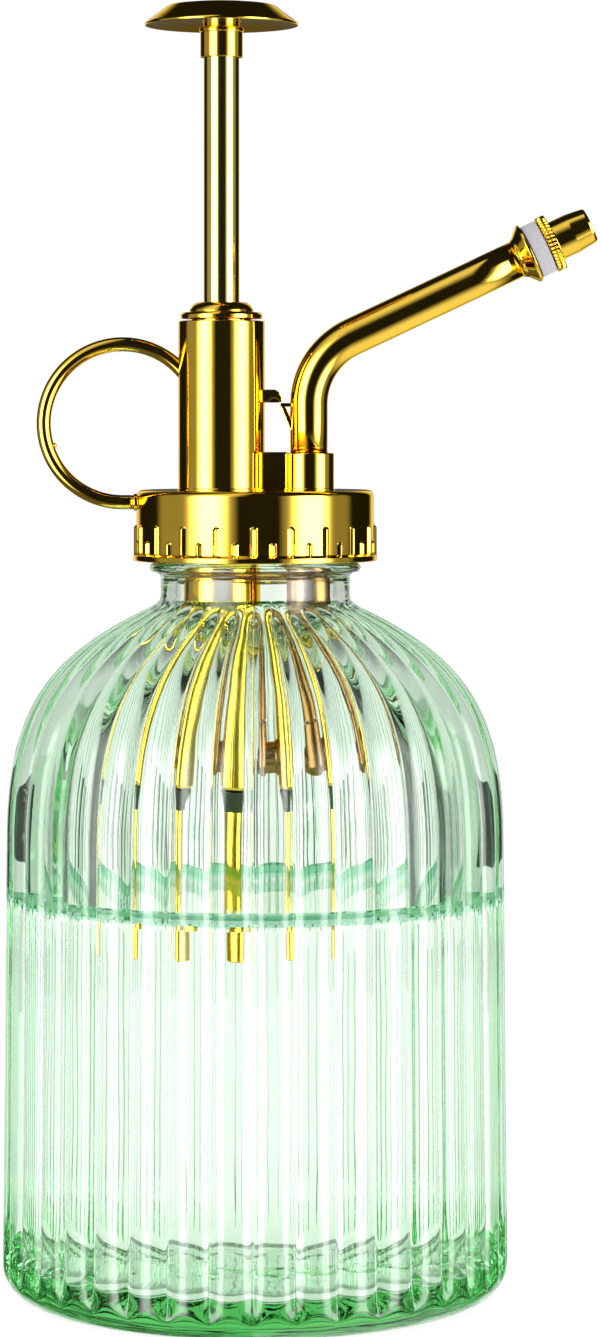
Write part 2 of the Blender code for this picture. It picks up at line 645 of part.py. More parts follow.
def build():
    bottle_axis = axis_empty("bottle_axis")
    gasket_axis = axis_empty("cap_lift_axis", parent=bottle_axis)
    head_axis = axis_empty("head_turn_axis", parent=gasket_axis)
    plunger_axis = axis_empty("plunger_axis", (PUMP_X, 0.0, 0.0), parent=head_axis)
    inlet_axis = axis_empty("inlet_ball_axis", parent=head_axis)
    outlet_axis = axis_empty("outlet_ball_axis", parent=head_axis)
    spout_axis = axis_empty("spout_axis", flange_centre(), math.pi / 2.0 - SPOUT_RISE, head_axis)

    glass_bottle(bottle_axis)
    neck_gasket(gasket_axis)
    pump_head(head_axis)
    finger_ring(head_axis)
    gland_nut(head_axis)
    rod_seal(head_axis)
    pump_barrel(head_axis)
    cross_plug(head_axis)
    riser_tube(head_axis)
    outlet_valve(head_axis, outlet_axis)
    inlet_valve(head_axis, inlet_axis)
    dip_tube(head_axis)
    return_spring(head_axis)
    plunger(plunger_axis)
    nozzle_pipe(head_axis, spout_axis)
    nozzle_core(spout_axis)
    nozzle_seal(spout_axis)
    nozzle_cap(spout_axis)


build()
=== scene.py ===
"""Hand mister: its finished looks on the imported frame.

Lengths in the shape functions are millimetres; MM turns them into metres as a mesh is made.
The frame's origin is the centre of the bottle's base, +Z is up and +X points along the spout.
"""
import math

import bmesh
import bpy
from mathutils import Matrix, Vector


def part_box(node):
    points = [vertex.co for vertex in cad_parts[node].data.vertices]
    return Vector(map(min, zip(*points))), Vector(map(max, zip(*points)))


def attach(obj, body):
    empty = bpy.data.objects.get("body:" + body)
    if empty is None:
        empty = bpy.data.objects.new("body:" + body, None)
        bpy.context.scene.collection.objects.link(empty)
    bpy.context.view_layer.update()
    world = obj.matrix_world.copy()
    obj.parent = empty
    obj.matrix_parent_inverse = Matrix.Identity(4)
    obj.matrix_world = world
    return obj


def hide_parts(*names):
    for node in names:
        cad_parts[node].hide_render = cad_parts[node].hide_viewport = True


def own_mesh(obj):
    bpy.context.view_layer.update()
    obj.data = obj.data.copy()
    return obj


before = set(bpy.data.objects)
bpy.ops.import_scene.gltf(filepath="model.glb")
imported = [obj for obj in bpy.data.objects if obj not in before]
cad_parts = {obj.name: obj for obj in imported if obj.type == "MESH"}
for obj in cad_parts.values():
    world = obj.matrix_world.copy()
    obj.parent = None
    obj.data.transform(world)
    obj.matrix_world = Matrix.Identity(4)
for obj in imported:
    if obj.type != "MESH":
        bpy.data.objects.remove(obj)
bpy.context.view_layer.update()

MM = 0.001
SCENE = bpy.context.scene


# ---------------------------------------------------------------- places taken from the frame

def low_mm(node):
    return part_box(node)[0] / MM


def high_mm(node):
    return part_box(node)[1] / MM


PUMP_X = (low_mm("plunger_rod").x + high_mm("plunger_rod").x) / 2.0
SPOUT_X = (low_mm("riser_tube").x + high_mm("riser_tube").x) / 2.0
CAP_TOP = 123.5
BOTTLE_R = 39.0
SHOULDER_Z = 72.0
SHOULDER_R = 38.4
NECK_R = 14.6
NECK_FOOT_Z = 105.8
GLASS_WALL = 3.4
FLOOR_Z = 4.6
FLOOR_FILLET_R = 8.0
WATER_Z = 60.0
FLUTES = 38
FLUTE_DEPTH = 1.2
SPOUT_RISE = math.radians(25.2)
SPOUT_DIRECTION = Vector((math.cos(SPOUT_RISE), 0.0, math.sin(SPOUT_RISE)))
BEND_Z = 136.7
BEND_R = 11.5
SPOUT_LENGTH = 30.28
RING_X = -20.5
RING_Z = 133.8
RING_R = 12.2
RING_WIRE = 1.1
BEAD_R = 16.3
ARM_Z = 82.2
CAP_R = 18.35
CAP_STEPS = 240
CAP_RIBS = 20
LEVEL = Vector((1.0, 0.0, 0.0))
WATER_IOR = 1.33
GLASS_IOR = 1.5


# ---------------------------------------------------------------- outlines

def eased(outline, steps=5):
    """Rounds the corners of an outline; a point is (radius, height) or (radius, height, round)."""
    points = []
    for i, entry in enumerate(outline):
        corner = Vector(entry[:2])
        if len(entry) < 3 or i in (0, len(outline) - 1):
            points.append(corner)
            continue
        back = Vector(outline[i - 1][:2]) - corner
        ahead = Vector(outline[i + 1][:2]) - corner
        half = back.angle(ahead) / 2.0
        reach = min(entry[2] / math.tan(half), back.length * 0.49, ahead.length * 0.49)
        size = reach * math.tan(half)
        back.normalize()
        ahead.normalize()
        middle = (back + ahead).normalized()
        centre = corner + middle * (size / math.sin(half))
        first = corner + back * reach - centre
        last = corner + ahead * reach - centre
        swing = first.angle(last)
        for k in range(steps + 1):
            t = k / steps
            between = first * math.sin((1.0 - t) * swing) + last * math.sin(t * swing)
            points.append(centre + between / math.sin(swing))
    return points


def arc(centre_r, centre_z, radius, start, end, count):
    """Outline points on an arc; angles in degrees, 0 towards +radius and 90 up."""
    points = []
    for i in range(count + 1):
        angle = math.radians(start + (end - start) * i / count)
        points.append((centre_r + radius * math.cos(angle), centre_z + radius * math.sin(angle)))
    return points


def upright(x=0.0):
    """A frame for a shape turned about an upright axis."""
    return Matrix.Translation(Vector((x, 0.0, 0.0)) * MM)


def along(point, direction):
    """A frame with its +Z along a direction in the XZ plane."""
    tilt = math.atan2(direction.x, direction.z)
    return Matrix.Translation(Vector(point) * MM) @ Matrix.Rotation(tilt, 4, "Y")


# ---------------------------------------------------------------- meshes

def piece(name, work, finish):
    """A smooth object from a finished bmesh, with its doubles merged and faces turned outwards."""
    bmesh.ops.remove_doubles(work, verts=work.verts, dist=0.000001)
    bmesh.ops.recalc_face_normals(work, faces=work.faces)
    for face in work.faces:
        face.smooth = True
    mesh = bpy.data.meshes.new(name)
    work.to_mesh(mesh)
    work.free()
    obj = bpy.data.objects.new(name, mesh)
    SCENE.collection.objects.link(obj)
    mesh.materials.append(finish)
    return obj


def turn(work, outline, place, steps=96, closed=False):
    """Adds a turned shape to a bmesh; a flat run gets support loops so its shading stays flat."""
    points = [Vector(p[:2]) for p in outline]
    loops = []
    count = len(points)
    for i, point in enumerate(points):
        loops.append(point)
        if i == count - 1 and not closed:
            break
        ahead = points[(i + 1) % count] - point
        if ahead.length > 0.9:
            nudge = min(0.06, ahead.length * 0.1)
            loops.append(point + ahead.normalized() * nudge)
            loops.append(point + ahead - ahead.normalized() * nudge)
    rings = []
    for radius, height in loops:
        if radius < 1e-6:
            rings.append([work.verts.new(place @ Vector((0.0, 0.0, height * MM)))])
            continue
        ring = []
        for k in range(steps):
            angle = 2.0 * math.pi * k / steps
            point = Vector((radius * math.cos(angle), radius * math.sin(angle), height)) * MM
            ring.append(work.verts.new(place @ point))
        rings.append(ring)
    pairs = list(zip(rings, rings[1:]))
    if closed:
        pairs.append((rings[-1], rings[0]))
    for upper, lower in pairs:
        for k in range(steps):
            n = (k + 1) % steps
            corners = [upper[k % len(upper)], upper[n % len(upper)], lower[n % len(lower)],
                       lower[k % len(lower)]]
            distinct = [v for i, v in enumerate(corners) if v not in corners[:i]]
            if len(distinct) > 2:
                work.faces.new(distinct)
    return rings


def skin(work, rings):
    """Joins each ring of vertices to the next with faces."""
    for upper, lower in zip(rings, rings[1:]):
        for k in range(len(upper)):
            n = (k + 1) % len(upper)
            work.faces.new((upper[k], upper[n], lower[n], lower[k]))


def fan(work, ring, height):
    """Closes a ring of vertices to a point on the bottle's axis."""
    pole = work.verts.new(Vector((0.0, 0.0, height)) * MM)
    for k in range(len(ring)):
        work.faces.new((ring[k], ring[(k + 1) % len(ring)], pole))


def turned_piece(name, outline, place, finish, steps=96, closed=False):
    work = bmesh.new()
    turn(work, outline, place, steps, closed)
    return piece(name, work, finish)


def sweep(work, points, radius, sides=32):
    """Adds a round bar with closed ends along points in the XZ plane, given in millimetres."""
    rings = []
    for i, point in enumerate(points):
        before = Vector(points[max(i - 1, 0)])
        after = Vector(points[min(i + 1, len(points) - 1)])
        forward = (after - before).normalized()
        side = Vector((0.0, 1.0, 0.0))
        up = forward.cross(side)
        ring = []
        for k in range(sides):
            angle = 2.0 * math.pi * k / sides
            offset = (up * math.cos(angle) + side * math.sin(angle)) * radius
            ring.append(work.verts.new((Vector(point) + offset) * MM))
        rings.append(ring)
    skin(work, rings)
    work.faces.new(rings[0])
    work.faces.new(reversed(rings[-1]))


def plate(work, outline, thick, edge=0.25):
    """Adds a plate in the XZ plane, centred on Y, with softened edges."""
    front = [work.verts.new(Vector((x, -thick / 2.0, z)) * MM) for x, z in outline]
    back = [work.verts.new(Vector((x, thick / 2.0, z)) * MM) for x, z in outline]
    faces = [work.faces.new(front), work.faces.new(reversed(back))]
    for k in range(len(outline)):
        n = (k + 1) % len(outline)
        faces.append(work.faces.new((front[n], front[k], back[k], back[n])))
    edges = list(dict.fromkeys(e for f in faces for e in f.edges))
    bmesh.ops.bevel(work, geom=edges, offset=edge * MM, segments=3, profile=0.6, affect="EDGES")


# ---------------------------------------------------------------- finishes

class Value:
    """A shader socket; +, -, *, ** and abs on it add Math nodes to its tree."""

    def __init__(self, finish, socket):
        self.finish = finish
        self.socket = socket

    def maths(self, operation, *others, **settings):
        slots = {i: value for i, value in enumerate((self, *others))}
        return self.finish.node("ShaderNodeMath", {"operation": operation, **settings}, slots)

    def __add__(self, other):
        return self.maths("ADD", other)

    __radd__ = __add__

    def __mul__(self, other):
        return self.maths("MULTIPLY", other)

    __rmul__ = __mul__

    def __sub__(self, other):
        return self.maths("SUBTRACT", other)

    def __rsub__(self, other):
        return self * -1.0 + other

    def __abs__(self):
        return self.maths("ABSOLUTE")

    def __pow__(self, other):
        return self.maths("POWER", other)


class Finish:
    """A node tree being filled, for a material or for the studio's world."""

    def __init__(self, owner):
        owner.use_nodes = True
        self.owner = owner
        self.tree = owner.node_tree
        self.tree.nodes.clear()

    def node(self, kind, settings=None, sockets=None, output=0):
        """Adds a node: its settings first, then its sockets' values or links; returns an output."""
        made = self.tree.nodes.new(kind)
        for key, value in (settings or {}).items():
            setattr(made, key, value)
        for key, value in (sockets or {}).items():
            if isinstance(value, Value):
                self.tree.links.new(value.socket, made.inputs[key])
            elif isinstance(value, tuple) and len(value) == 3 and made.inputs[key].type == "RGBA":
                made.inputs[key].default_value = (*value, 1.0)
            else:
                made.inputs[key].default_value = value
        return Value(self, made.outputs[output]) if made.outputs else None

    def place(self, scale=(1.0, 1.0, 1.0), centre=(0.0, 0.0, 0.0)):
        """Object coordinates, centred and scaled."""
        where = self.node("ShaderNodeTexCoord", output="Object")
        offset = tuple(-c * s for c, s in zip(centre, scale))
        sockets = {"Vector": where, "Location": offset, "Scale": scale}
        return self.node("ShaderNodeMapping", {}, sockets)

    def parts(self, kind):
        """The x, y and z of one of the texture coordinates."""
        where = self.node("ShaderNodeTexCoord", output=kind)
        split = self.tree.nodes.new("ShaderNodeSeparateXYZ")
        self.tree.links.new(where.socket, split.inputs[0])
        return [Value(self, made) for made in split.outputs]

    def radius_and_height(self):
        """A point's distance from the bottle's axis and its height, in millimetres."""
        x, y, z = (part * 1000.0 for part in self.parts("Object"))
        return (x * x + y * y) ** 0.5, z

    def noise(self, scale, detail=3.0, rough=0.5, where=None):
        where = where or self.place()
        sockets = {"Vector": where, "Scale": scale, "Detail": detail, "Roughness": rough}
        return self.node("ShaderNodeTexNoise", {}, sockets)

    def fade(self, value, low, high, bottom=0.0, top=1.0):
        """A smooth step of a value from low to high, mapped to bottom and top."""
        sockets = {"Value": value, "From Min": low, "From Max": high, "To Min": bottom,
                   "To Max": top}
        return self.node("ShaderNodeMapRange", {"interpolation_type": "SMOOTHSTEP"}, sockets)

    def blend(self, factor, first, second):
        """A colour mixed from two."""
        colours = {0: factor, 6: first, 7: second}
        return self.node("ShaderNodeMix", {"data_type": "RGBA"}, colours, output=2)

    def bump(self, height, strength, distance):
        sockets = {"Height": height, "Strength": strength, "Distance": distance}
        return self.node("ShaderNodeBump", {}, sockets)

    def output(self, shader, socket="Surface"):
        for made in self.tree.nodes:
            if made.type in ("OUTPUT_MATERIAL", "OUTPUT_WORLD"):
                self.tree.links.new(shader.socket, made.inputs[socket])
                return self.owner
        kind = "World" if isinstance(self.owner, bpy.types.World) else "Material"
        self.node("ShaderNodeOutput" + kind, {}, {socket: shader})
        return self.owner


def plated(name, pale, deep, roughness, edge=(1.0, 0.80, 0.36)):
    """Bright plated metal: faint polishing streaks, a little tarnish and fine dust in the shine."""
    finish = Finish(bpy.data.materials.new(name))
    cloud = finish.noise(90.0, 4.0, 0.55)
    fine = finish.noise(900.0, 2.0, 0.6)
    streaks = finish.noise(260.0, 2.0, 0.5, finish.place((1.0, 1.0, 0.06)))
    tint = finish.blend(finish.fade(cloud, 0.35, 0.75), pale, deep)
    rough = roughness + finish.fade(streaks, 0.4, 0.8, 0.0, 0.05)
    rough = rough + finish.fade(fine, 0.5, 0.9, 0.0, 0.04)
    normal = finish.bump(cloud + streaks * 0.25, 0.08, 0.00012)
    shader = finish.node("ShaderNodeBsdfPrincipled", {}, {
        "Base Color": tint, "Roughness": rough, "Metallic": 1.0, "Specular Tint": edge,
        "Normal": normal})
    return finish.output(shader)


def moulded(name, colour, shade, roughness, grain=700.0):
    """Moulded plastic or rubber: a faint grain, cloudy colour and uneven gloss."""
    finish = Finish(bpy.data.materials.new(name))
    cloud = finish.noise(120.0, 3.0)
    pits = finish.noise(grain, 3.0, 0.6)
    tint = finish.blend(finish.fade(cloud, 0.3, 0.7), colour, shade)
    rough = roughness + finish.fade(pits, 0.35, 0.75, -0.02, 0.03)
    shader = finish.node("ShaderNodeBsdfPrincipled", {}, {
        "Base Color": tint, "Roughness": rough, "Normal": finish.bump(pits, 0.05, 0.00001)})
    return finish.output(shader)


def pressed_glass():
    """Pale green pressed glass with a gently wavy surface; its inner wall meets water, then air."""
    finish = Finish(bpy.data.materials.new("pressed_green_glass"))
    waves = finish.noise(70.0, 2.0, 0.5, finish.place((1.0, 1.0, 0.35)))
    ripples = finish.noise(240.0, 1.0, 0.5, finish.place((1.0, 1.0, 0.3)))
    normal = finish.bump(waves + ripples * 0.08, 0.5, 0.0010)
    wet_r, wet_foot, wet_top = 36.8, 3.2, WATER_Z + 2.0
    radius, height = finish.radius_and_height()
    wet = radius.maths("LESS_THAN", wet_r) * height.maths("GREATER_THAN", wet_foot)
    wet = wet * height.maths("LESS_THAN", wet_top)
    against = [finish.node("ShaderNodeBsdfPrincipled", {}, {
        "Base Color": (1.0, 1.0, 1.0), "Roughness": 0.0, "IOR": ior, "Transmission Weight": 1.0,
        "Normal": normal}) for ior in (GLASS_IOR, GLASS_IOR / WATER_IOR)]
    shader = finish.node("ShaderNodeMixShader", {}, {0: wet, 1: against[0], 2: against[1]})
    body = finish.node("ShaderNodeVolumeAbsorption", {}, {
        "Color": (0.31, 0.82, 0.37), "Density": 44.0})
    finish.output(shader)
    return finish.output(body, "Volume")


def water_with_painted_meniscus_shade():
    """Water whose top bends light, its meniscus tinted dark green as painted shade; its walls are
    left to the glass they touch.
    """
    finish = Finish(bpy.data.materials.new("water_with_painted_meniscus_shade"))
    ripples = finish.noise(35.0, 1.0, 0.5, finish.place((1.0, 1.0, 0.2)))
    height = finish.radius_and_height()[1]
    # Above the waterline the water's colour turns dark green: painted shade for the dark band at
    # the meniscus, with a noisy lower edge.
    uneven_shade_edge = finish.noise(160.0, 2.0) * 0.5
    edge = finish.fade(height + uneven_shade_edge, WATER_Z + 0.30, WATER_Z + 0.75)
    tint = finish.blend(edge, (0.985, 1.0, 0.99), (0.25, 0.60, 0.41))
    surface = finish.node("ShaderNodeBsdfPrincipled", {}, {
        "Base Color": tint, "Roughness": 0.0, "IOR": WATER_IOR, "Transmission Weight": 1.0,
        "Normal": finish.bump(ripples, 0.1, 0.0003)})
    unseen = finish.node("ShaderNodeBsdfTransparent", {}, {"Color": (1.0, 1.0, 1.0)})
    wall = height.maths("LESS_THAN", WATER_Z - 0.3)
    return finish.output(finish.node("ShaderNodeMixShader", {}, {0: wall, 1: surface, 2: unseen}))


GOLD = plated("yellow_gold_plate", (1.0, 0.665, 0.085), (0.95, 0.61, 0.07), 0.045)
PALE_GOLD = plated("pale_gold_plate", (0.97, 0.80, 0.24), (0.92, 0.74, 0.19), 0.06)
# Brown plate for the pump parts inside the bottle: a bronze tone, darkened further as painted shade
# for the shade inside the glass.
SHADE_DARKENED_BRONZE = plated("bronze_plate_darkened_as_shade", (0.34, 0.19, 0.07), (0.24, 0.13, 0.045), 0.22)
STEEL = plated("bright_steel", (0.66, 0.66, 0.64), (0.55, 0.55, 0.54), 0.18, (0.95, 0.95, 0.95))
WHITE = moulded("white_moulding", (0.74, 0.71, 0.76), (0.68, 0.655, 0.71), 0.5)
OLIVE = moulded("olive_moulding", (0.055, 0.085, 0.02), (0.03, 0.05, 0.012), 0.35)
RUBBER = moulded("black_rubber", (0.02, 0.02, 0.02), (0.035, 0.035, 0.033), 0.65)
GLASS = pressed_glass()
WATER = water_with_painted_meniscus_shade()


# ---------------------------------------------------------------- bottle and water

def shoulder(inset, count):
    """The bottle's round shoulder from the neck's foot down to the body, moved in by inset."""
    start = Vector((NECK_R + 0.8, NECK_FOOT_Z))
    first = Vector((NECK_R + 16.8, NECK_FOOT_Z - 7.4))
    second = Vector((SHOULDER_R - 0.6, SHOULDER_Z + 18.9))
    end = Vector((SHOULDER_R, SHOULDER_Z))
    points = []
    for i in range(count + 1):
        t = i / count
        s = 1.0 - t
        point = s**3 * start + 3 * s * s * t * first + 3 * s * t * t * second + t**3 * end
        tangent = (3 * s * s * (first - start) + 6 * s * t * (second - first)
                   + 3 * t * t * (end - second))
        normal = Vector((-tangent.y, tangent.x)).normalized()
        points.append(tuple(point - normal * inset))
    return points


def wall_below_shoulder(radius_top, radius_low, high, low, count):
    return [(radius_top + (radius_low - radius_top) * i / count, high + (low - high) * i / count)
            for i in range(1, count)]


def glass_outline():
    """Outer wall of the bottle, from the neck's foot down to the middle of the base."""
    heel = 5.0
    outline = shoulder(0.0, 44)
    outline += wall_below_shoulder(SHOULDER_R, BOTTLE_R, SHOULDER_Z, heel, 26)
    outline += arc(BOTTLE_R - heel, heel, heel, 0.0, -90.0, 14)
    outline += [(32.5, 0.05), (31.0, 0.4), (29.0, 1.0), (26.0, 1.45), (20.0, 1.7), (10.0, 1.8),
                (0.0, 1.8)]
    return outline


def inside_outline(inset):
    """Inner wall of the bottle, from the neck's foot down to the middle of the floor."""
    inner_r = BOTTLE_R - inset
    outline = shoulder(inset, 30)
    outline += wall_below_shoulder(SHOULDER_R - inset, inner_r, SHOULDER_Z,
                                   FLOOR_Z + FLOOR_FILLET_R, 10)
    outline += arc(inner_r - FLOOR_FILLET_R, FLOOR_Z + FLOOR_FILLET_R, FLOOR_FILLET_R,
                   0.0, -90.0, 12)
    outline += [(20.0, FLOOR_Z + 0.3), (10.0, FLOOR_Z + 0.8), (0.0, FLOOR_Z + 1.0)]
    return outline


def flute_drop(share):
    """How far the glass falls from a flute's crest; share runs from -1 to 1 between two grooves."""
    soft, broad, steep = 0.07, 0.46, 0.54
    inward = 1.0 - abs(share)
    inward = math.sqrt(inward**2 + soft**2) - soft * (1.0 - inward)
    u = 1.0 - inward
    return broad * u * u + steep * u**4


def thread_rise(angle, height):
    """How far the neck's screw thread stands out at a bearing and height."""
    pitch, foot, length, rise, taper = 3.6, 113.9, 1.25, 1.25, 0.08
    best = 0.0
    first = angle % (2.0 * math.pi) / (2.0 * math.pi)
    for turns in (first, first + 1.0):
        ends = max(0.0, min(1.0, turns / taper, (length - turns) / taper))
        away = height - foot - pitch * turns
        best = max(best, rise * ends * max(0.0, 1.0 - away * away))
    return best


def fluted_bottle():
    """The bottle: neck with its thread and bead, fluted wall, base, and a smooth inner wall."""
    run_out_length, heel_foot, heel_length = 1.6, 3.0, 4.0
    base_r, base_z = 30.0, 10.0
    thread_low, thread_high = 113.0, 119.25
    columns = [-1.0, -0.93, -0.84, -0.70, -0.5, -0.26, 0.0, 0.26, 0.5, 0.70, 0.84, 0.93]
    front = -math.pi / 2.0
    angles = []
    for flute in range(FLUTES):
        for share in columns:
            turn_by = (flute + 0.5 + share / 2.0) * 2.0 * math.pi / FLUTES
            angles.append((front + turn_by, flute_drop(share)))
    work = bmesh.new()
    neck = [(12.4, 107.3), (12.4, 119.3), (12.7, 119.6), (14.3, 119.6), (NECK_R, 119.3)]
    neck += [(NECK_R, 119.2 - 0.25 * k) for k in range(25)]
    neck += [(NECK_R + 0.15, 112.6), (15.2, 112.25)]
    neck += arc(BEAD_R - 0.65, 111.55, 0.65, 80.0, -80.0, 8)
    neck += [(15.2, 110.85), (14.75, 110.5), (NECK_R, 109.9), (NECK_R, 107.2), (14.75, 106.5)]
    outer = glass_outline()
    profile = [(r, z, False) for r, z in neck] + [(r, z, True) for r, z in outer[:-1]]
    rings = []
    for i, (radius, height, fluted) in enumerate(profile):
        ring = []
        here = Vector((radius, height))
        ahead = Vector(profile[min(i + 1, len(profile) - 1)][:2]) - here
        normal = Vector((-ahead.y, ahead.x)).normalized() if ahead.length else Vector((0.0, -1.0))
        run_out = min(1.0, max(0.0, (NECK_FOOT_Z - height) / run_out_length))
        heel = min(1.0, max(0.0, (height - heel_foot) / heel_length))
        depth = FLUTE_DEPTH * math.sin(run_out * math.pi / 2.0) * math.sin(heel * math.pi / 2.0)
        if not fluted or radius < base_r and height < base_z:
            depth = 0.0
        threaded = radius == NECK_R and thread_low < height < thread_high
        for angle, drop in angles:
            moved = here - normal * depth * drop
            if threaded:
                moved.x += thread_rise(angle, height)
            ring.append(work.verts.new(Vector((moved.x * math.cos(angle), moved.x * math.sin(angle),
                                               moved.y)) * MM))
        rings.append(ring)
    sides = len(angles)
    skin(work, rings)
    fan(work, rings[-1], outer[-1][1])

    inner = inside_outline(GLASS_WALL)
    step = 3
    inner_rings = []
    for radius, height in inner[:-1]:
        ring = []
        for k in range(0, sides, step):
            angle = angles[k][0]
            ring.append(work.verts.new(Vector((radius * math.cos(angle), radius * math.sin(angle),
                                               height)) * MM))
        inner_rings.append(ring)
    skin(work, inner_rings)
    fan(work, inner_rings[-1], inner[-1][1])
    mouth = inner_rings[0]
    for k in range(len(mouth)):
        n = (k + 1) % len(mouth)
        rim = [rings[0][(k * step + j) % sides] for j in range(step + 1)]
        work.faces.new((*rim, mouth[n], mouth[k]))
    return piece("fluted_bottle", work, GLASS)


def water_fill():
    """The water in the bottle, a hair into the glass so that light crosses one surface."""
    overlap = 0.15
    inner = inside_outline(GLASS_WALL - overlap)
    wall = [(r, z - overlap if r < 30.0 else z) for r, z in inner if z < WATER_Z - 2.0]
    edge_r = BOTTLE_R - GLASS_WALL - 0.25
    surface = [(0.0, WATER_Z), (15.0, WATER_Z), (28.0, WATER_Z), (edge_r - 5.5, WATER_Z + 0.03),
               (edge_r - 3.4, WATER_Z + 0.2), (edge_r - 1.9, WATER_Z + 0.6),
               (edge_r - 0.9, WATER_Z + 1.25), (edge_r - 0.3, WATER_Z + 1.95),
               (edge_r + overlap, WATER_Z + 2.4)]
    return turned_piece("water_fill", surface + wall, upright(), WATER, steps=152)


# ---------------------------------------------------------------- rings of small repeated shapes

def ring_of_copies_tree():
    """A node tree that sets copies of the incoming shape round the Z axis, each facing outwards."""
    tree = bpy.data.node_groups.new("ring_of_copies", "GeometryNodeTree")
    tree.interface.new_socket("Shape", in_out="INPUT", socket_type="NodeSocketGeometry")
    inputs = {}
    kinds = {"Count": "NodeSocketInt", "Radius": "NodeSocketFloat", "Phase": "NodeSocketFloat",
             "Finish": "NodeSocketMaterial"}
    for name, kind in kinds.items():
        inputs[name] = tree.interface.new_socket(name, in_out="INPUT", socket_type=kind).identifier
    tree.interface.new_socket("Shape", in_out="OUTPUT", socket_type="NodeSocketGeometry")

    def add(kind, **settings):
        made = tree.nodes.new(kind)
        for key, value in settings.items():
            setattr(made, key, value)
        return made

    def link(start, output, end, socket):
        tree.links.new(start.outputs[output], end.inputs[socket])

    given = add("NodeGroupInput")
    circle = add("GeometryNodeMeshCircle")
    phase = add("ShaderNodeCombineXYZ")
    turned_circle = add("GeometryNodeTransform")
    place = add("GeometryNodeInputPosition")
    split = add("ShaderNodeSeparateXYZ")
    bearing = add("ShaderNodeMath", operation="ARCTAN2")
    facing = add("ShaderNodeCombineXYZ")
    copies = add("GeometryNodeInstanceOnPoints")
    real = add("GeometryNodeRealizeInstances")
    finish = add("GeometryNodeSetMaterial")
    result = add("NodeGroupOutput")
    link(given, "Count", circle, "Vertices")
    link(given, "Radius", circle, "Radius")
    link(given, "Phase", phase, "Z")
    link(circle, "Mesh", turned_circle, "Geometry")
    link(phase, "Vector", turned_circle, "Rotation")
    link(place, "Position", split, "Vector")
    link(split, "Y", bearing, 0)
    link(split, "X", bearing, 1)
    link(bearing, "Value", facing, "Z")
    link(turned_circle, "Geometry", copies, "Points")
    link(given, "Shape", copies, "Instance")
    link(facing, "Vector", copies, "Rotation")
    link(copies, "Instances", real, "Geometry")
    link(real, "Geometry", finish, "Geometry")
    link(given, "Finish", finish, "Material")
    link(finish, "Geometry", result, "Shape")
    return tree, inputs


RING_TREE, RING_INPUTS = ring_of_copies_tree()


def ring_of(work, shape, count, radius, phase, finish, place=None):
    """Adds copies of a small bmesh, set in a ring by the node tree, to a piece's bmesh."""
    mesh = bpy.data.meshes.new("copied_shape")
    bmesh.ops.recalc_face_normals(shape, faces=shape.faces)
    shape.to_mesh(mesh)
    shape.free()
    source = bpy.data.objects.new("copied_shape", mesh)
    SCENE.collection.objects.link(source)
    ring = source.modifiers.new("ring", "NODES")
    ring.node_group = RING_TREE
    values = {"Count": count, "Radius": radius * MM, "Phase": phase, "Finish": finish}
    for name, value in values.items():
        ring[RING_INPUTS[name]] = value
    bpy.context.view_layer.update()
    graph = bpy.context.evaluated_depsgraph_get()
    plain = bpy.data.meshes.new_from_object(source.evaluated_get(graph))
    if place is not None:
        plain.transform(place)
    work.from_mesh(plain)
    bpy.data.objects.remove(source)
    bpy.data.meshes.remove(plain)
    bpy.data.meshes.remove(mesh)


def cap_rib(top):
    """One upright rib: a bell across, a rounded top and a flat back sunk into the cap."""
    half, height, sunk = 0.62, 0.44, 0.35
    across = [-1.0, -0.82, -0.64, -0.46, -0.28, -0.12, 0.0, 0.12, 0.28, 0.46, 0.64, 0.82, 1.0]
    foot = 113.3
    levels = [foot, foot + 0.9, top - half]
    levels += [top - half + half * s for s in (0.2, 0.38, 0.54, 0.68, 0.80, 0.90, 1.0)]
    shape = bmesh.new()
    rows = []
    for level in levels:
        row = []
        for share in across:
            beyond = max(0.0, level - (top - half)) / half
            reach = min(1.0, math.hypot(share, beyond))
            rise = height * (0.5 + 0.5 * math.cos(math.pi * reach)) ** 0.8
            row.append(shape.verts.new(Vector((rise - 0.02, share * half, level)) * MM))
        rows.append(row)
    for lower, upper in zip(rows, rows[1:]):
        for k in range(len(across) - 1):
            shape.faces.new((lower[k], lower[k + 1], upper[k + 1], upper[k]))
    rim = rows[0] + [row[-1] for row in rows[1:-1]] + list(reversed(rows[-1]))
    rim += [row[0] for row in reversed(rows[1:-1])]
    back = [shape.verts.new(v.co - Vector((sunk * MM + v.co.x, 0.0, 0.0))) for v in rim]
    skin(shape, (rim, back))
    shape.faces.new(back)
    return shape


def knurl_tooth(low, high):
    """One fine ridge of the knurled ring."""
    shape = bmesh.new()
    section = [(-0.3, -0.22), (0.02, -0.2), (0.22, -0.13), (0.27, -0.06), (0.28, 0.0),
               (0.27, 0.06), (0.22, 0.13), (0.02, 0.2), (-0.3, 0.22)]
    bottom = [shape.verts.new(Vector((x, y, low)) * MM) for x, y in section]
    top = [shape.verts.new(Vector((x, y, high)) * MM) for x, y in section]
    shape.faces.new(bottom)
    shape.faces.new(reversed(top))
    skin(shape, (bottom, top))
    return shape


# ---------------------------------------------------------------- plunger

def knob():
    outline = [(0.0, 198.8), (3.0, 198.76), (6.0, 198.58), (8.3, 198.3, 0.9),
               (11.75, 195.72, 0.5), (11.9, 195.5, 0.2), (11.85, 195.22, 0.15),
               (11.0, 195.32, 0.6), (6.6, 195.85, 2.0), (2.95, 195.9, 0.1), (2.95, 197.5),
               (0.0, 197.5)]
    return turned_piece("thumb_knob", eased(outline), upright(PUMP_X), GOLD, 128)


def knob_collar():
    outline = [(2.91, 194.9), (3.45, 194.9, 0.12), (3.45, 194.3, 0.1), (3.3, 194.2, 0.06),
               (3.3, 190.3, 0.15), (2.91, 190.3, 0.05), (2.91, 192.0)]
    return turned_piece("knob_sleeve", eased(outline), upright(PUMP_X), GOLD, 96, closed=True)


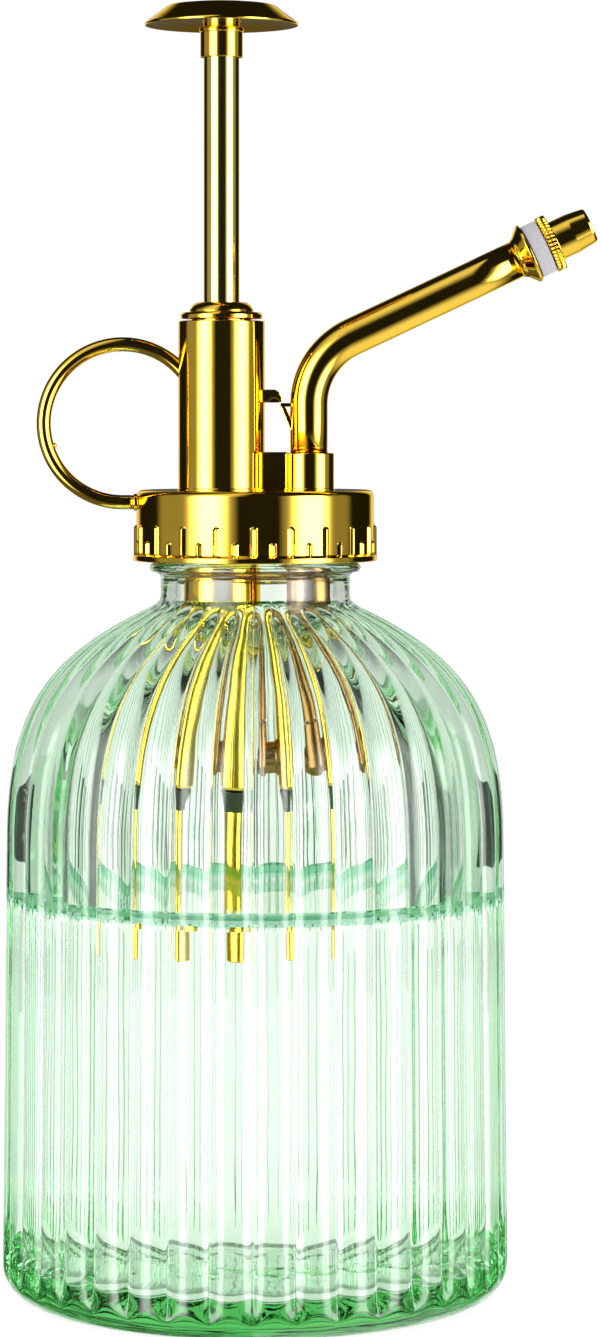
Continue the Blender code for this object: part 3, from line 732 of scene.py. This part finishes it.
def plunger_rod():
    outline = [(0.0, 197.2), (2.46, 197.2, 0.1), (2.76, 196.9, 0.1), (2.76, 146.0),
               (1.5, 146.0, 0.1), (1.5, 139.0), (1.05, 139.0), (1.05, 144.5), (0.0, 144.5)]
    return turned_piece("polished_rod", eased(outline), upright(PUMP_X), PALE_GOLD, 96)


# ---------------------------------------------------------------- pump head

def pump_head():
    """Cap with its ribs and lip, pump cylinder, spout socket, web, latch and ring boss."""
    work = bmesh.new()
    cap = [(16.5, CAP_TOP), (CAP_R, CAP_TOP, 1.4), (CAP_R, 113.75, 0.35), (18.85, 113.45, 0.22),
           (18.85, 112.6, 0.22), (18.3, 112.6), (16.3, 112.6, 0.3), (16.3, 121.0, 0.4),
           (15.5, 121.0)]
    rings = turn(work, eased(cap, 8), upright(), CAP_STEPS)
    hole = [(6.3, CAP_TOP), (5.9, CAP_TOP), (5.9, 121.0), (6.3, 121.0)]
    hole_rings = turn(work, hole, upright(PUMP_X), CAP_STEPS)
    for end in (0, -1):
        skin(work, (rings[end], hole_rings[end]))
    ring_of(work, cap_rib(118.3), CAP_RIBS, CAP_R, -math.pi / 2.0, GOLD)
    ring_of(work, cap_rib(115.9), CAP_RIBS, CAP_R, -math.pi / 2.0 + math.pi / CAP_RIBS, GOLD)
    cylinder = [(5.85, 149.6), (6.3, 149.6), (6.67, 149.6, 0.45), (6.67, 123.8, 0.15),
                (7.0, 123.3), (5.85, 123.3)]
    turn(work, eased(cylinder), upright(PUMP_X), 144, closed=True)
    socket = [(3.05, 129.2), (3.5, 129.2), (3.9, 129.2, 0.35), (3.9, 123.8, 0.12), (4.15, 123.3),
              (3.05, 123.3)]
    turn(work, eased(socket), upright(SPOUT_X), 112, closed=True)
    web_end = SPOUT_X - 3.3
    web_root = PUMP_X + 6.0
    web = [(web_root, 123.2), (web_end, 123.2), (web_end, 129.35), (web_root, 129.35)]
    plate(work, web, 3.0, 0.22)
    latch_root = PUMP_X + 6.2
    latch = [(latch_root, 137.0), (3.55, 137.0), (4.2, 137.1), (4.15, 137.8), (3.75, 138.55),
             (3.1, 139.0), (latch_root, 139.0)]
    plate(work, latch, 2.4, 0.16)
    boss = [(0.0, 18.95), (0.8, 18.95), (1.3, 18.8, 0.25), (1.3, 17.2), (0.0, 17.2)]
    turn(work, eased(boss), along((0.0, 0.0, RING_Z - RING_R), -LEVEL), 40)
    return piece("plated_head", work, GOLD)


def finger_ring():
    """The open hoop, run into the cylinder and the boss, with its small moulding nub."""
    work = bmesh.new()
    points = []
    start, end, count = 38.0, 270.0, 88
    for i in range(count + 1):
        angle = math.radians(start + (end - start) * i / count)
        points.append((RING_X + RING_R * math.cos(angle), 0.0, RING_Z + RING_R * math.sin(angle)))
    points.append((-19.6, 0.0, RING_Z - RING_R))
    points.append((-18.7, 0.0, RING_Z - RING_R))
    sweep(work, points, RING_WIRE)
    angle = math.radians(198.0)
    inner = RING_R - RING_WIRE - 0.28
    spot = (RING_X + inner * math.cos(angle), 0.0, RING_Z + inner * math.sin(angle))
    towards = Vector((-math.cos(angle), 0.0, -math.sin(angle)))
    nub = [(0.0, 0.1), (0.2, 0.06), (0.34, -0.08), (0.42, -0.5), (0.0, -0.5)]
    turn(work, nub, along(spot, towards), 16)
    return piece("finger_hoop", work, GOLD)


def gland_nut():
    outline = [(2.95, 152.45), (3.1, 152.5, 0.1), (3.9, 152.42), (4.6, 151.95), (4.95, 151.3),
               (5.0, 150.95, 0.1), (6.05, 150.9, 0.15), (6.32, 150.55, 0.2), (6.3, 149.95, 0.12),
               (4.65, 149.9, 0.1), (4.65, 146.0), (2.95, 146.0), (2.95, 147.2), (4.0, 147.2),
               (4.0, 148.6), (2.95, 148.6)]
    return turned_piece("gland_nut_plated", eased(outline), upright(PUMP_X), GOLD, 128, closed=True)


# ---------------------------------------------------------------- spout and tip

def spout_route(start_z, straight, in_bend):
    """Centreline of the spout: upright, round the bend, then straight for a length."""
    swing = math.pi / 2.0 - SPOUT_RISE
    points = [(SPOUT_X, 0.0, start_z), (SPOUT_X, 0.0, BEND_Z - 0.6)]
    for i in range(in_bend + 1):
        angle = swing * i / in_bend
        x = SPOUT_X + BEND_R * (1.0 - math.cos(angle))
        points.append((x, 0.0, BEND_Z + BEND_R * math.sin(angle)))
    end = Vector(points[-1])
    for share in (0.02, 0.35, 0.7, 1.0):
        points.append(tuple(end + SPOUT_DIRECTION * (straight * share)))
    return points


FLANGE = Vector(spout_route(120.0, SPOUT_LENGTH, 8)[-1])
SPOUT_AXIS = along(FLANGE, SPOUT_DIRECTION)


def spout_pipe():
    work = bmesh.new()
    points = spout_route(124.1, SPOUT_LENGTH - 0.4, 30)
    sweep(work, points, 2.9, 64)
    flare = [(1.6, 0.22), (4.1, 0.22, 0.1), (4.68, 0.3, 0.12), (4.72, -0.15, 0.18),
             (3.3, -1.45, 0.8), (2.88, -2.2), (1.6, -2.2)]
    turn(work, eased(flare, 10), SPOUT_AXIS, 112, closed=True)
    lug_top = [(3.8, 136.35), (6.2, 136.35), (6.2, 136.92), (3.8, 136.92)]
    lug_web = [(3.8, 136.85), (4.5, 136.85), (5.95, 133.6), (5.95, 132.7), (5.45, 132.7)]
    for lug in (lug_top, lug_web):
        plate(work, lug, 2.2, 0.1)
    return piece("bent_spout", work, GOLD)


def white_core():
    outline = [(0.7, 7.6), (1.7, 7.6, 0.1), (1.7, 2.85), (4.25, 2.85, 0.15), (4.25, 0.45, 0.15),
               (1.45, 0.45), (1.45, -3.0), (0.7, -3.0)]
    return turned_piece("white_core", eased(outline), SPOUT_AXIS, WHITE, 112, closed=True)


def spray_tip():
    """Tip with a knurled ring, a smooth barrel and a dished front with its spray hole."""
    work = bmesh.new()
    outline = [(0.4, 9.6), (0.9, 9.75), (1.5, 10.1), (2.0, 10.5, 0.1), (2.62, 10.5, 0.12),
               (2.8, 10.1, 0.3), (3.1, 7.4, 0.8), (3.1, 4.5, 0.15), (4.1, 4.5), (4.2, 4.45, 0.05),
               (4.2, 3.05, 0.05), (4.1, 3.0), (1.9, 3.0), (1.9, 5.0), (2.45, 5.0), (2.45, 6.3),
               (1.9, 6.3), (1.9, 8.6), (0.4, 8.6)]
    turn(work, eased(outline), SPOUT_AXIS, 112, closed=True)
    ring_of(work, knurl_tooth(3.05, 4.45), 42, 4.2, 0.0, GOLD, SPOUT_AXIS)
    return piece("spray_tip", work, GOLD)


# ---------------------------------------------------------------- pump parts inside the bottle

def pump_barrel():
    """Liner, a turned tube; the cross passage and the riser's spigot are on the cross arm."""
    work = bmesh.new()
    outline = [(4.8, 149.3), (5.7, 149.3), (5.7, 120.7), (6.0, 120.7, 0.1), (6.0, 77.9, 0.25),
               (5.65, 77.5, 0.15), (3.55, 77.5), (3.55, 79.6), (1.0, 79.6), (1.0, 80.6),
               (4.8, 80.6)]
    turn(work, eased(outline), upright(PUMP_X), 112, closed=True)
    return piece("brass_liner", work, GOLD)


def return_coil():
    """The return spring; its wire is drawn along the coil and its ends lie flat."""
    low, high, turns, radius, wire = 81.3, 138.0, 9, 3.9, 0.4
    work = bmesh.new()
    sides, steps = 12, 40
    rings = []
    for i in range(turns * steps + 1):
        share = i / (turns * steps)
        angle = 2.0 * math.pi * turns * share
        outward = Vector((math.cos(angle), math.sin(angle), 0.0))
        centre = Vector((PUMP_X, 0.0, low + (high - low) * share)) + outward * radius
        ring = []
        for k in range(sides):
            round_wire = 2.0 * math.pi * k / sides
            offset = outward * math.cos(round_wire) + Vector((0.0, 0.0, math.sin(round_wire)))
            ring.append(work.verts.new((centre + offset * wire) * MM))
        rings.append(ring)
    skin(work, rings)
    work.faces.new(rings[0])
    work.faces.new(reversed(rings[-1]))
    return piece("return_coil", work, STEEL)


def cross_arm():
    """The bronze arm from the liner to the riser, with the spigot that the riser is pushed on; its
    plate is darkened as painted shade for its place inside the bottle.
    """
    work = bmesh.new()
    arm = [(1.4, PUMP_X + 5.5), (2.9, PUMP_X + 5.5), (2.9, PUMP_X + 6.5, 0.2),
           (2.55, PUMP_X + 6.9, 0.2), (2.55, 11.8, 0.2), (2.2, 12.0), (1.4, 12.0)]
    turn(work, eased(arm), along((0.0, 0.0, ARM_Z), LEVEL), 64, closed=True)
    boss = [(1.3, 91.0), (2.35, 91.0, 0.1), (2.35, 88.0), (3.5, 88.0, 0.15), (3.5, 80.7, 0.9),
            (2.3, 79.35, 0.9), (0.0, 79.2)]
    turn(work, eased([(1.3, 84.0), *boss, (0.0, 84.0)]), upright(SPOUT_X), 64, closed=True)
    return piece("cross_arm", work, SHADE_DARKENED_BRONZE)


def cross_plug():
    outline = [(0.0, 12.9), (1.9, 12.9, 0.1), (2.2, 12.6, 0.2), (2.2, 12.2), (1.3, 12.2),
               (1.3, 10.2), (0.0, 10.2)]
    # Bronze plate darkened as painted shade for the plug's place inside the bottle.
    return turned_piece("arm_plug", eased(outline), along((0.0, 0.0, ARM_Z), LEVEL), SHADE_DARKENED_BRONZE, 48)


def riser_tube():
    outline = [(2.5, 122.2), (3.5, 122.2, 0.1), (3.5, 88.3, 0.2), (2.5, 88.3)]
    # Bronze plate darkened as painted shade for the riser's place inside the bottle.
    return turned_piece("bronze_riser_darkened_as_shade", eased(outline), upright(SPOUT_X), SHADE_DARKENED_BRONZE, 96, closed=True)


def inlet_body():
    outline = [(2.2, 79.3), (3.4, 79.3), (3.4, 77.2), (5.6, 77.2, 0.15), (5.6, 76.9, 0.15),
               (3.95, 74.6, 0.4), (3.9, 73.9, 0.15), (3.45, 73.9), (3.45, 75.2), (0.9, 75.2),
               (0.9, 75.9), (2.2, 75.9)]
    return turned_piece("inlet_fitting", eased(outline), upright(PUMP_X), OLIVE, 96, closed=True)


def dip_tube():
    outline = [(2.5, 74.9), (3.3, 74.9), (3.3, 52.0, 0.15), (2.5, 52.0, 0.1)]
    return turned_piece("brass_dip_tube", eased(outline), upright(PUMP_X), GOLD, 96, closed=True)


# ---------------------------------------------------------------- studio

def studio_world():
    """A white surround seen directly; shiny parts mirror soft boxes with dark gaps instead."""
    world = bpy.data.worlds.new("studio")
    SCENE.world = world
    sky = Finish(world)
    x, y, z = sky.parts("Generated")
    azimuth = x.maths("ARCTAN2", y * -1.0) * (180.0 / math.pi)
    behind = abs(azimuth)

    def band(rise_from, rise_to, fall_from, fall_to):
        rise = sky.fade(azimuth, rise_from, rise_to)
        return rise * sky.fade(azimuth, fall_from, fall_to, 1.0, 0.0)

    left = band(-112.0, -99.0, -22.0, -14.0) * 0.30
    left = left + band(-80.0, -50.0, -38.0, -16.0) ** 2.5 * 8.0
    right = band(22.0, 30.0, 98.0, 110.0) * 0.26 + band(22.0, 50.0, 64.0, 90.0) ** 3.0 * 8.0
    panel = sky.fade(behind, 145.0, 158.0) * sky.fade(behind, 169.0, 177.0, 1.0, 0.1) * 0.9
    level = sky.fade(z, 0.30, 0.62, 1.0, 0.0)
    upper_left = band(-105.0, -45.0, -32.0, -4.0) * sky.fade(z, 0.25, 0.55) * 0.85
    table = sky.fade(z, -0.80, -0.40, 1.0, 0.0) * (0.12 + sky.fade(azimuth, -5.0, 60.0) * 0.85)
    below = sky.fade(z, -0.62, -0.32)
    studio = (left + right + panel) * level * below + upper_left + table + 0.012

    flags = sky.fade(behind, 105.0, 125.0) * sky.fade(behind, 150.0, 162.0, 1.0, 0.0)
    overhead = sky.fade(z, 0.70, 0.92)
    direct = (1.0 - flags * 0.20) * (1.0 - overhead * 0.5) * 1.10

    path = sky.tree.nodes.new("ShaderNodeLightPath")
    names = ("Is Camera Ray", "Glossy Depth", "Diffuse Depth", "Transmission Depth")
    camera_ray, glossy, diffuse, passed = (Value(sky, path.outputs[name]) for name in names)
    seen_through = passed.maths("GREATER_THAN", 0.5)
    backdrop = seen_through * sky.fade(behind, 118.0, 140.0) * sky.fade(z, -0.5, -0.2)
    backdrop = backdrop * sky.fade(z, 0.45, 0.80, 1.0, 0.35)
    studio = studio + (direct * 0.85 - studio) * backdrop
    mirrored = glossy.maths("GREATER_THAN", 0.5)
    scattered = diffuse.maths("GREATER_THAN", 0.5)
    strength = direct + (studio - direct) * mirrored
    strength = strength + (0.8 - strength) * scattered
    strength = strength + (1.02 - strength) * camera_ray
    light = sky.node("ShaderNodeBackground", {}, {"Color": (1.0, 1.0, 1.0), "Strength": strength})
    sky.output(light)


def dark_flags():
    """Two low dark boards behind the bottle that only light refracted by the glass can meet."""
    finish = Finish(bpy.data.materials.new("flag_cloth"))
    cloth = finish.noise(400.0, 2.0)
    tint = finish.blend(cloth, (0.01, 0.01, 0.01), (0.02, 0.02, 0.02))
    shader = finish.node("ShaderNodeBsdfPrincipled", {}, {"Base Color": tint, "Roughness": 0.9})
    finish.output(shader)
    near, far, low, high, behind = 0.118, 0.232, 0.03, 0.066, 0.30
    corners = [(near, low), (far, low), (far, high), (near, high)]
    for name, side in (("flag_left", -1.0), ("flag_right", 1.0)):
        work = bmesh.new()
        work.faces.new([work.verts.new((side * x, behind, z)) for x, z in corners])
        board = piece(name, work, finish.owner)
        board.visible_camera = False
        board.visible_diffuse = False
        board.visible_glossy = False
        board.visible_shadow = False


def pale_floor():
    finish = Finish(bpy.data.materials.new("pale_floor"))
    grain = finish.noise(3.0, 2.0)
    tint = finish.blend(grain, (0.27, 0.27, 0.27), (0.30, 0.30, 0.30))
    shader = finish.node("ShaderNodeBsdfPrincipled", {}, {
        "Base Color": tint, "Roughness": 0.9, "Emission Color": (1.0, 1.0, 1.0),
        "Emission Strength": 0.88})
    finish.output(shader)
    work = bmesh.new()
    bmesh.ops.create_circle(work, cap_ends=True, segments=64, radius=0.32)
    floor = piece("floor", work, finish.owner)
    floor.location.z = -0.0001
    floor.visible_glossy = False


def camera():
    data = bpy.data.cameras.new("camera")
    data.sensor_width = 36.0
    data.lens = 108.0
    data.shift_y = -0.182
    data.clip_end = 20.0
    view = bpy.data.objects.new("camera", data)
    view.location = (0.007, -0.62, 0.1335)
    view.rotation_euler = (math.pi / 2.0, 0.0, 0.0)
    SCENE.collection.objects.link(view)
    SCENE.camera = view


# ---------------------------------------------------------------- assembly

bottle = fluted_bottle()
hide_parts("glass_bottle")
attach(bottle, "bottle")
water = water_fill()
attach(water, "bottle")

PIECES = [
    (knob, "plunger", ["knob"], "gold_plate"),
    (knob_collar, "plunger", ["knob_collar"], "gold_plate"),
    (plunger_rod, "plunger", ["plunger_rod"], "pale_gold"),
    (pump_head, "head", ["pump_head"], "gold_plate"),
    (finger_ring, "head", ["finger_ring"], "gold_plate"),
    (gland_nut, "head", ["gland_nut"], "gold_plate"),
    (spout_pipe, "head", ["nozzle_pipe"], "gold_plate"),
    (white_core, "head", ["nozzle_core"], "white_plastic"),
    (spray_tip, "tip", ["nozzle_cap"], "gold_plate"),
    (pump_barrel, "head", ["pump_barrel"], "gold_plate"),
    (cross_arm, "head", ["pump_barrel"], "gold_plate"),
    (cross_plug, "head", ["cross_plug"], "gold_plate"),
    (riser_tube, "head", ["riser_tube"], "gold_plate"),
    (inlet_body, "head", ["inlet_valve_body"], "olive_plastic"),
    (dip_tube, "head", ["dip_tube"], "gold_plate"),
]
for make, body, nodes, slot in PIECES:
    made = make()
    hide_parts(*nodes)
    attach(made, body)

coil = return_coil()
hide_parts("return_spring")
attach(coil, "head")
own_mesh(coil)

KEPT_NODES = {
    STEEL: ["inlet_ball", "outlet_ball", "piston_screw"],
    WHITE: ["piston", "outlet_ball_stop"],
    RUBBER: ["neck_gasket", "rod_seal", "piston_ring", "nozzle_seal"],
}
for finish, nodes in KEPT_NODES.items():
    for node in nodes:
        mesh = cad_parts[node].data
        mesh.materials.clear()
        mesh.materials.append(finish)

studio_world()
dark_flags()
pale_floor()
camera()
SCENE.view_settings.view_transform = "Standard"
SCENE.cycles.max_bounces = 24
SCENE.cycles.transmission_bounces = 24
SCENE.cycles.glossy_bounces = 10
SCENE.cycles.caustics_reflective = False
